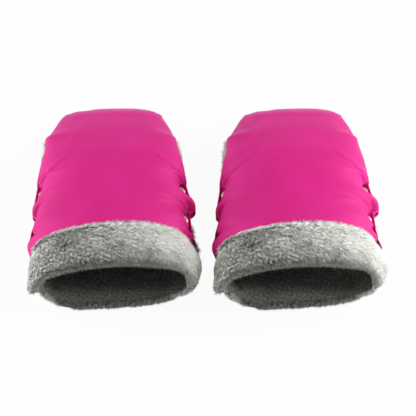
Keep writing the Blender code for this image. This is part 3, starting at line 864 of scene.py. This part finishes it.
def tufts(face, facts, weights, count, seed, lay_of, tone_and_painted_shading_of, up, length, width, outwards=0):
    """Tapered blades of pile on a face: points, faces, cloth places, heights up the pile and tones, with
    painted light and shade in the tones.

    facts holds, for each point of the face, its cloth place, its distance from the mouth and from the hem.
    """
    rng = np.random.default_rng(seed)
    first, second = face[1:, :-1] - face[:-1, :-1], face[:-1, 1:] - face[:-1, :-1]
    areas = np.linalg.norm(np.cross(first, second), axis=2) * (weights[:-1, :-1] + weights[1:, 1:]) / 2
    chosen = rng.choice(areas.size, size=count, p=areas.ravel() / areas.sum())
    i, j = np.unravel_index(chosen, areas.shape)
    rows, columns = i + rng.uniform(0, 1, count), j + rng.uniform(0, 1, count)
    root, fact = between(face, rows, columns), between(facts, rows, columns)
    normal = between(grid_normals(face) * up, rows, columns)
    normal /= np.linalg.norm(normal, axis=1)[:, None]
    along = between(np.gradient(face, axis=0), rows, columns)
    along -= normal * (along * normal).sum(axis=1)[:, None]
    along /= np.linalg.norm(along, axis=1)[:, None]
    across = np.cross(along, normal) * up
    angle, looseness = lay_of(fact)
    angle = angle + looseness * rng.standard_normal(count)
    comb = along * np.cos(angle)[:, None] + across * np.sin(angle)[:, None]
    comb[:, 0] += outwards * np.sign(root[:, 0])
    comb /= np.linalg.norm(comb, axis=1)[:, None]
    sideways = np.cross(normal, comb)
    long = length * rng.uniform(*length_shares, count)[:, None]
    wide = width * rng.uniform(*width_shares, count)[:, None]
    spread = back_spread if up < 0 else np.interp(fact[:, 0] / mm, tone_spreads[:, 0], tone_spreads[:, 1])
    # Painted light and shade from the panel's table, plus a random tone from clump to clump.
    tone = tone_and_painted_shading_of(fact) + spread * field(fact[:, :2], seed, clump_size, clump_waves)
    rise = np.radians(rng.uniform(*lean_degrees, count) - tone_lift_degrees * np.clip(tone, -1, 1))[:, None]
    sunk = root - normal * root_depth
    middle = root + (normal * np.cos(rise) + comb * np.sin(rise)) * long * bend_share
    flatter = (rise + math.pi / 2) / 2
    tip = middle + (normal * np.cos(flatter) + comb * np.sin(flatter)) * long * (1 - bend_share)
    half = sideways * wide / 2
    ridge = middle + normal * wide * ridge_share
    points = np.stack([sunk - half, sunk + half, ridge, tip], axis=1).reshape(-1, 3)
    template = np.array([(0, 1, 2), (0, 2, 3), (2, 1, 3), (0, 3, 1)])
    faces = (template[None] + blade_points * np.arange(count)[:, None, None]).reshape(-1, 3)
    heights = np.tile(blade_height_shares, count)
    tone = tone + spread * rng.uniform(-tone_jitter, tone_jitter, count)
    cloth_places = np.repeat(fact[:, :2], blade_points, axis=0)
    return points, facing_out(points, faces), cloth_places, heights, np.repeat(tone, blade_points)


strand_turn = math.radians(50)
hair_depth = 0.6 * mm
# The pile's colour from root to tip: the dark roots are painted shade deep in the pile, between the blades.
pile_tones = [(0, (0.12, 0.12, 0.113, 1)), (0.6, (0.48, 0.48, 0.452, 1)), (1, (0.68, 0.68, 0.642, 1))]


def plush_finish():
    """Grey pile, pale at the tips and dark at the roots with painted shade deep in the pile, in brushed
    streaks, with painted light and shade in patches from its tone attribute.
    """
    finish, tree, shader = new_finish("grey_plush", {
        "Roughness": 0.75,
        "Specular IOR Level": 0.2,
        "Sheen Weight": 0.3,
        "Sheen Roughness": 0.35,
        "Sheen Tint": (0.95, 0.95, 0.9, 1.0),
    })
    height = added(tree, "Attribute", {}, attribute_name="pile_height").outputs["Fac"]
    # The tone attribute holds painted light and shade, laid over the random tone of the clumps.
    tone = added(tree, "Attribute", {}, attribute_name="pile_tone").outputs["Fac"]
    cloth = added(tree, "UVMap", {}, uv_map="cloth").outputs["UV"]
    brushing = {"Vector": cloth, "Rotation": (0, 0, strand_turn), "Scale": (120, 500, 1)}
    noise = {"Vector": added(tree, "Mapping", brushing).outputs["Vector"], "Scale": 1, "Detail": 3}
    strands = added(tree, "TexNoise", noise).outputs["Fac"]
    shift = added(tree, "Math", {0: tone, 1: 0.42, 2: 1.0}, operation="MULTIPLY_ADD")
    patchy = added(tree, "MapRange", {
        "Value": strands, "From Min": 0.3, "From Max": 0.7, "To Min": 0.85, "To Max": 1.15,
    })
    both = {0: shift.outputs["Value"], 1: patchy.outputs["Result"]}
    strength = added(tree, "Math", both, operation="MULTIPLY").outputs["Value"]
    colour = {"Vector": tone_ramp(tree, height, pile_tones), "Scale": strength}
    shaded = added(tree, "VectorMath", colour, operation="SCALE")
    hair_bump = added(tree, "Bump", {"Strength": 0.5, "Distance": hair_depth, "Height": strands})
    connect(tree, shader, {"Base Color": shaded.outputs["Vector"], "Normal": hair_bump.outputs["Normal"]})
    return finish


stud_clear_radius = 7.5 * mm
stud_clear_fade = 1 * mm


def stud_clearance(face):
    """1 away from the press studs, falling to 0 over them, so that no pile stands in a stud."""
    nearest = np.full(face.shape[:2], 1.0)
    for side, x, y, _, _ in studs:
        laid_y = y + mouth_skew * side * x / skew_half_width * (1 - y / mouth_to_fold)
        nearest = np.minimum(nearest, np.hypot(face[..., 0] - side * x, face[..., 1] - laid_y))
    return smooth_step((nearest - stud_clear_radius) / stud_clear_fade)


# The lay of the pile is an angle in degrees from straight up the cloth: 0 runs from the tip out of the
# mouth, and on the band from the mouth to the hem. It is brushed down and to the right, with a swirl on the
# left, and loose at the hem and where it rolls over the mouth. It wanders by (angle, seed, size).
hem_fluff = 5 * mm
front_angle = 142
front_band_start = 8 * mm
front_wander = [(14, 11, 55 * mm), (10, 12, 20 * mm)]
lining_wander = [(15, 13, 40 * mm)]
hem_turn = 70
hem_turn_depth = 14 * mm
front_looseness = dict(plain=0.22, hem=0.4, roll=0.15)
loose_roll = (2 * mm, 16 * mm)
back_angle = 28
back_band_start = 26 * mm
back_wander = [(22, 21, 50 * mm), (14, 22, 18 * mm)]
back_looseness = dict(plain=0.3, hem=0.5)

# Soft round patches of the front panel's pile, brushed another way by an angle or darker by a tone of painted
# shade: each has that amount, then its middle and spread across the cloth, and the same along it, in
# millimetres
turn_patches = [(70, -66, 17, 54, 12), (-25, -42, 48, 60, 15)]
# Painted shade: three darker patches on the band.
painted_shade_patches = [(-0.55, -5, 60, 26, 13), (-1.3, -66, 15, 54, 9), (-0.5, -30, 40, 72, 5)]


def patches(fact, table):
    x, along = fact[:, 0] / mm, fact[:, 1] / mm
    total = np.zeros(len(fact))
    for amount, middle_x, spread_x, middle_along, spread_along in table:
        away = ((x - middle_x) / spread_x) ** 2 + ((along - middle_along) / spread_along) ** 2
        total += amount * np.exp(-away)
    return total


def wander(fact, table):
    return sum(angle * field(fact[:, :2], seed, size) for angle, seed, size in table)


def front_lay(fact):
    along, to_hem = fact[:, 1], fact[:, 3]
    brushed = front_angle + patches(fact, turn_patches) + wander(fact, front_wander)
    brushed -= hem_turn * smooth_step(1 - to_hem / hem_turn_depth)
    angle = np.where(along > front_band_start, brushed, wander(fact, lining_wander))
    rolled = (along > loose_roll[0]) & (along < loose_roll[1])
    loose = front_looseness["plain"] + front_looseness["hem"] * (to_hem < hem_fluff)
    return np.radians(angle), loose + front_looseness["roll"] * rolled


def back_lay(fact):
    inside = back_angle + wander(fact, back_wander)
    angle = np.where(fact[:, 1] > back_band_start, 180 + inside, inside)
    loose = back_looseness["plain"] + back_looseness["hem"] * (fact[:, 3] < hem_fluff)
    return np.radians(angle), loose


# The tone of the pile on the front panel, painted light and shade: it drifts paler to the right and is paler
# at the sides, where the softboxes light it, paler on the side walls near the mouth and in a painted
# highlight where it rolls over, and darker in patches of painted shade. Sides are (side, tone, start, width).
tone_level = 0.05
painted_drift_light = 0.22
drift_middle = 15 * mm
drift_width = 50 * mm
painted_side_light = [(1, 1.1, 75 * mm, 45 * mm), (-1, 0.45, 90 * mm, 30 * mm)]
painted_wall_light = 1.5
wall_depth = 35 * mm
wall_start = 60 * mm
wall_width = 20 * mm
painted_roll_highlight = 0.9
roll_middle = 8 * mm
roll_width = 5 * mm

# The back panel's painted light and shade, by the distance inside the mouth in millimetres: paler at the lip
# and darker deeper in, and how much paler its corners are by painted light
painted_depth_shading = np.array([(0, 0.1), (4, 0.6), (10, 0.7), (16, 0.2), (24, -0.8), (37, -1.6), (60, -1.7)])
painted_corner_light = 2.4
painted_corner_light_start = 70 * mm
painted_corner_light_width = 15 * mm
painted_corner_light_depth = 30 * mm
# The loose fluff at the slots and gaps is the same pile, made paler with painted light.
painted_fluff_light = 1.9
fluff_looseness = 0.5


def front_painted_light_and_shade(fact):
    x, along = fact[:, 0], fact[:, 1]
    # Painted light, paler to the right and at the sides, and painted shade in patches.
    tone = tone_level + painted_drift_light * np.tanh((x - drift_middle) / drift_width) + patches(fact, painted_shade_patches)
    for side, amount, start, width in painted_side_light:
        tone += amount * smooth_step((side * x - start) / width)
    # Painted light on the side walls just inside the mouth, and a painted highlight along the roll.
    on_wall = (along < 0) & (along > -wall_depth)
    tone += painted_wall_light * on_wall * smooth_step((np.abs(x) - wall_start) / wall_width)
    return tone + painted_roll_highlight * np.exp(-((along - roll_middle) / roll_width) ** 2)


def back_painted_light_and_shade(fact):
    x, from_mouth = fact[:, 0], fact[:, 2]
    # Painted shade, darker deeper inside the mouth, with painted light at the lip and at the corners near it.
    tone = np.interp(from_mouth / mm, painted_depth_shading[:, 0], painted_depth_shading[:, 1])
    at_corner = smooth_step((np.abs(x) - painted_corner_light_start) / painted_corner_light_width)
    return tone + painted_corner_light * at_corner * np.exp(-from_mouth / painted_corner_light_depth)


def outward_lay(fact):
    return np.where(fact[:, 0] > 0, math.pi / 2, -math.pi / 2), fluff_looseness


# Painted light on the loose fluff.
def painted_pale_fluff(fact):
    return np.full(len(fact), painted_fluff_light)


# How thickly the blades stand on each panel: on the band, and in the lining, where they thin out with the
# depth inside the mouth. They stand thicker on the roll, at the hem, at the sides and on the side walls.
pile_weights = {
    "front": dict(band=1.0, lining=0.35, depth=25 * mm),
    "back": dict(band=0.45, lining=0.75, depth=55 * mm),
}
least_weight = 0.05
wall_weight = 0.5
wall_share = 0.6
wall_reach = 118 * mm
roll_weight = 1.4
hem_weight = 1.6
edge_weight = 1.5
edge_extra = 0.3
edge_share = 0.97
bare_share = 0.9
bare_reach = (12 * mm, 196 * mm)
rim_columns = 4
lump_height = 0.3 * mm
lump_size = 30 * mm
# The base sheet takes a darker colour low on the ramp: painted shade between the blades.
base_height_share = 0.45
fluff_outwards = 2.0
slot_reach = (203 * mm, 236 * mm)
gap_reaches = ((82 * mm, 96 * mm), (36 * mm, 70 * mm))


def blade_weights(panel, from_mouth, to_hem, outer, clear):
    """How thickly the blades stand at each point of the face: none at the studs and the closed edges."""
    inside = from_mouth > 0
    weight = pile_weights[panel]
    thinning = np.exp(-from_mouth / weight["depth"])
    walls = wall_weight * (outer > wall_share) * (from_mouth < wall_reach)
    weights = np.where(inside, weight["lining"] * thinning + least_weight + walls, weight["band"])
    weights = np.where(~inside & (to_hem == far_from_hem), roll_weight, weights)
    weights = np.where(~inside & (to_hem < hem_fluff), weights * hem_weight, weights)
    closed = (from_mouth > bare_reach[0]) & (from_mouth < bare_reach[1])
    weights = np.where(outer > edge_share, weights * edge_weight + edge_extra, weights)
    return weights * clear * ~(inside & closed & (outer > bare_share))


def fluff_weights(panel, from_mouth, outer, clear):
    """Where loose pile stands out past the edge: at the slots, and on the right at the back panel's gaps."""
    shown = (from_mouth > slot_reach[0]) & (from_mouth < slot_reach[1])
    if panel == "back":
        right = np.arange(plush_columns) > plush_columns // 2
        for start, end in gap_reaches:
            shown |= (from_mouth > start) & (from_mouth < end) & right
    return shown * (outer > edge_share) * clear


def plush_mesh(name, panel, half, dimple, up, seed, lay_of, tone_and_painted_shading_of, lowest=None):
    """The whole plush piece: its backing and face, and the tufts of its pile."""
    face, backing, from_mouth, to_hem, lining_rows = plush_faces(panel, half, dimple, up)
    places = cloth_lengths(face)
    places[..., 1] -= places[lining_rows - 1, :, 1]
    columns = np.arange(plush_columns)
    off_rim = np.minimum(columns, columns[::-1]).clip(0, rim_columns) / rim_columns
    outer = np.abs(across_shares(plush_columns))[None, :]
    clear = stud_clearance(face)
    lumps = lump_height * field(places, seed + 1, lump_size)
    face = face + grid_normals(face) * (up * lumps * off_rim * clear)[..., None]
    facts = np.concatenate([places, from_mouth[..., None], to_hem[..., None]], axis=2)
    orders = slice(None) if up > 0 else slice(None, None, -1)
    face_seen, facts_seen = face[:, orders], facts[:, orders]
    weights = blade_weights(panel, from_mouth, to_hem, outer, clear)[:, orders]
    fluff = fluff_weights(panel, from_mouth, outer, clear)[:, orders]
    pile = [
        tufts(
            face_seen, facts_seen, weights, tuft_count, seed + 2, lay_of, tone_and_painted_shading_of, up, tuft_length,
            tuft_width,
        ),
        tufts(
            face_seen, facts_seen, fluff, fluff_count, seed + 3, outward_lay, painted_pale_fluff, up, fluff_length,
            tuft_width, fluff_outwards,
        ),
    ]
    base_points = np.concatenate([face.reshape(-1, 3), backing.reshape(-1, 3)])
    points, groups = [base_points], [facing_out(base_points, sheet_faces(*face.shape[:2]))]
    cloth_places = [np.tile(places.reshape(-1, 2), (2, 1))]
    heights = [np.full(len(base_points), base_height_share)]
    tones = [np.tile(tone_and_painted_shading_of(facts.reshape(-1, 4)), 2)]
    for tuft_points, tuft_faces, tuft_places, tuft_heights, tuft_tones in pile:
        groups.append(tuft_faces + sum(len(group) for group in points))
        points.append(tuft_points)
        cloth_places.append(tuft_places)
        heights.append(tuft_heights)
        tones.append(tuft_tones)
    points = np.concatenate(points)
    if lowest is not None:
        points[:, 2] = np.maximum(points[:, 2], lowest)
    return make_mesh(
        name, points, groups, np.concatenate(cloth_places),
        pile_height=np.concatenate(heights), pile_tone=np.concatenate(tones),
    )


tuft_count = 37500
tuft_length = 8.5 * mm
tuft_width = 1.3 * mm
fluff_count = 1500
fluff_length = 10 * mm
lowest_pile = 0.2 * mm
grey_plush = plush_finish()
front_plush_mesh = plush_mesh("front_plush", "front", front_half, dimple_line, 1, 3, front_lay, front_painted_light_and_shade)
back_plush_mesh = plush_mesh(
    "back_plush", "back", back_half, back_dimple_line, -1, 7, back_lay, back_painted_light_and_shade, lowest=lowest_pile,
)
for side in muff_places:
    front_plush = piece("front_plush_lining", front_plush_mesh, side, grey_plush)
    bends_with_front(front_plush)
    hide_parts(f"{side}_front_lining", f"{side}_tip_lining", f"{side}_front_cuff")
    back_plush = piece("back_plush_lining", back_plush_mesh, side, grey_plush)
    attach(back_plush, "muff_backs")
    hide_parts(f"{side}_back_lining", f"{side}_back_cuff")


# The press studs
# Each is four turned pieces of nickel-plated brass: the domed cap and the socket that its shank holds on the
# front panel, and the stud and the post that holds it on the back panel. Sixteen of each make up the pair.
turned_steps = 48
sharp_angle = math.radians(32)


def turned(name, profile, closed=False):
    """A turned piece from points (radius, height) in millimetres down its outer side."""
    profile = np.array(profile, float) * mm
    angles = np.linspace(0, 2 * math.pi, turned_steps, endpoint=False)
    points, faces, rings = [], [], []
    for radius, height in profile:
        if radius == 0:
            rings.append([len(points)] * turned_steps)
            points.append((0, 0, height))
        else:
            rings.append(list(range(len(points), len(points) + turned_steps)))
            points += [(radius * math.cos(angle), radius * math.sin(angle), height) for angle in angles]
    if closed:
        rings.append(rings[0])
    for upper, lower in zip(rings, rings[1:]):
        for step in range(turned_steps):
            following = (step + 1) % turned_steps
            corners = [upper[step], lower[step], lower[following], upper[following]]
            faces.append(list(dict.fromkeys(corners)))
    mesh = bpy.data.meshes.new(name)
    mesh.from_pydata(points, [], faces)
    mesh.update()
    mesh.shade_smooth()
    mesh.set_sharp_from_angle(angle=sharp_angle)
    return mesh


stud_forms = {
    "cap": turned("cap", [
        (0, 2.2), (2.2, 2.16), (4.4, 2.0), (6.2, 1.72), (7.4, 1.35), (8.1, 0.95), (8.5, 0.5),
        (8.4, 0.15), (8.1, 0.0), (2.0, 0.0), (2.0, -4.9), (0, -4.9),
    ]),
    "socket": turned("socket", [
        (2.3, 0.0), (5.6, 0.0), (6.3, -0.2), (6.6, -0.7), (6.6, -2.7), (6.3, -3.0), (4.6, -3.0), (4.2, -2.7),
        (3.9, -3.0), (3.6, -2.8), (3.6, -0.7), (2.3, -0.6),
    ], closed=True),
    "stud": turned("stud", [
        (0, 3.0), (1.5, 3.0), (2.15, 2.75), (2.4, 2.3), (2.3, 1.7), (2.1, 1.1), (2.4, 0.85), (5.4, 0.75),
        (5.8, 0.5), (5.8, 0.1), (5.6, 0.0), (1.7, 0.0), (1.7, 1.8), (0, 1.8),
    ]),
    "post": turned("post", [
        (0, 5.9), (1.4, 5.9), (1.4, 0.0), (5.5, 0.0), (5.8, -0.4), (5.7, -0.9), (5.0, -1.25),
        (3.4, -1.4), (0, -1.4),
    ]),
}
stud_tops = {"cap": 2.2 * mm, "socket": 0.0, "stud": 3.0 * mm, "post": 5.9 * mm}


mottle_depth = 0.1 * mm


def nickel():
    """Satin nickel plate, with a slightly mottled shine."""
    finish, tree, shader = new_finish("satin_nickel", {"Metallic": 1.0, "Base Color": (0.85, 0.87, 0.83, 1)})
    place = added(tree, "TexCoord", {}).outputs["Object"]
    mottle = added(tree, "TexNoise", {"Vector": place, "Scale": 700, "Detail": 4}).outputs["Fac"]
    shine = added(tree, "MapRange", {"Value": mottle, "To Min": 0.45, "To Max": 0.6})
    bump = added(tree, "Bump", {"Strength": 0.15, "Distance": mottle_depth, "Height": mottle})
    connect(tree, shader, {"Roughness": shine.outputs["Result"], "Normal": bump.outputs["Normal"]})
    return finish


satin_nickel = nickel()
for side in muff_places:
    for form, mesh in stud_forms.items():
        for number in range(1, len(slit_widths) + 1):
            node = f"{side}_snap_{form}_{number}"
            low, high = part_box(node)
            middle = (low + high) / 2
            made = bpy.data.objects.new(f"{side}_press_{form}_{number}", mesh)
            if not mesh.materials:
                mesh.materials.append(satin_nickel)
            bpy.context.scene.collection.objects.link(made)
            made.location = (middle.x, middle.y, high.z - stud_tops[form])
            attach(made, f"{side}_front" if form in ("cap", "socket") else "muff_backs")
            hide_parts(node)


# The floor, the light and the camera
# A plain white floor, a softbox at each side, and a long lens looking down at the pair from in front.
floor_size = 14.0
bpy.ops.mesh.primitive_plane_add(size=floor_size)
floor = bpy.context.object
floor.name = "floor"


def floor_paint():
    """Matt white, which the camera sees almost as bright as the backdrop, with the muffs' shadow on it."""
    finish, tree, shader = new_finish("white_floor", {
        "Roughness": 0.9, "Specular IOR Level": 0.1, "Base Color": (0.8, 0.8, 0.8, 1),
    })
    seen = added(tree, "LightPath", {}).outputs["Is Camera Ray"]
    share = added(tree, "Math", {0: seen, 1: 0.95}, operation="MULTIPLY").outputs["Value"]
    glow = added(tree, "Emission", {}).outputs["Emission"]
    mixed = added(tree, "MixShader", {"Fac": share, 1: shader.outputs["BSDF"], 2: glow})
    connect(tree, tree.nodes["Material Output"], {"Surface": mixed.outputs["Shader"]})
    return finish


floor.data.materials.append(floor_paint())

softbox_size = (1.0, 1.4)
softbox_height = 0.8
softbox_away = 1.5
softbox_forward = 0.15
lit_place = (0, 0, 0.05)


def softbox(name, side, power):
    lamp = bpy.data.lights.new(name, "AREA")
    lamp.shape = "RECTANGLE"
    lamp.size, lamp.size_y = softbox_size
    lamp.energy = power
    holder = bpy.data.objects.new(name, lamp)
    bpy.context.scene.collection.objects.link(holder)
    holder.location = (side * softbox_away, softbox_forward, softbox_height)
    holder.rotation_euler = (Vector(lit_place) - holder.location).to_track_quat("-Z", "Y").to_euler()


softbox("right_softbox", 1, 41)
softbox("left_softbox", -1, 31)

room_light = 0.12
world = bpy.data.worlds.new("studio")
bpy.context.scene.world = world
world.use_nodes = True
seen = added(world.node_tree, "LightPath", {}).outputs["Is Camera Ray"]
level = added(world.node_tree, "MapRange", {"Value": seen, "To Min": room_light, "To Max": 1.0})
background = {"Color": (1, 1, 1, 1), "Strength": level.outputs["Result"]}
connect(world.node_tree, world.node_tree.nodes["Background"], background)

image_width_pixels = 416
pixel_size = 1.337 * mm
lens_millimetres = 300
sensor_millimetres = 36
elevation = math.radians(60)
pair_middle = (muff_places["left"] + muff_places["right"]) / 2
aim_offset = Vector((3.1 * mm, 125.3 * mm, 40 * mm))
target = pair_middle + aim_offset
camera_data = bpy.data.cameras.new("camera")
camera_data.lens = lens_millimetres
camera_data.sensor_width = sensor_millimetres
camera_data.clip_end = 50
camera = bpy.data.objects.new("camera", camera_data)
bpy.context.scene.collection.objects.link(camera)
distance = image_width_pixels * pixel_size * lens_millimetres / sensor_millimetres
away = Vector((0, -math.cos(elevation), math.sin(elevation)))
camera.location = target + away * distance
camera.rotation_euler = (-away).to_track_quat("-Z", "Y").to_euler()
bpy.context.scene.camera = camera
bpy.context.scene.view_settings.view_transform = "Standard"
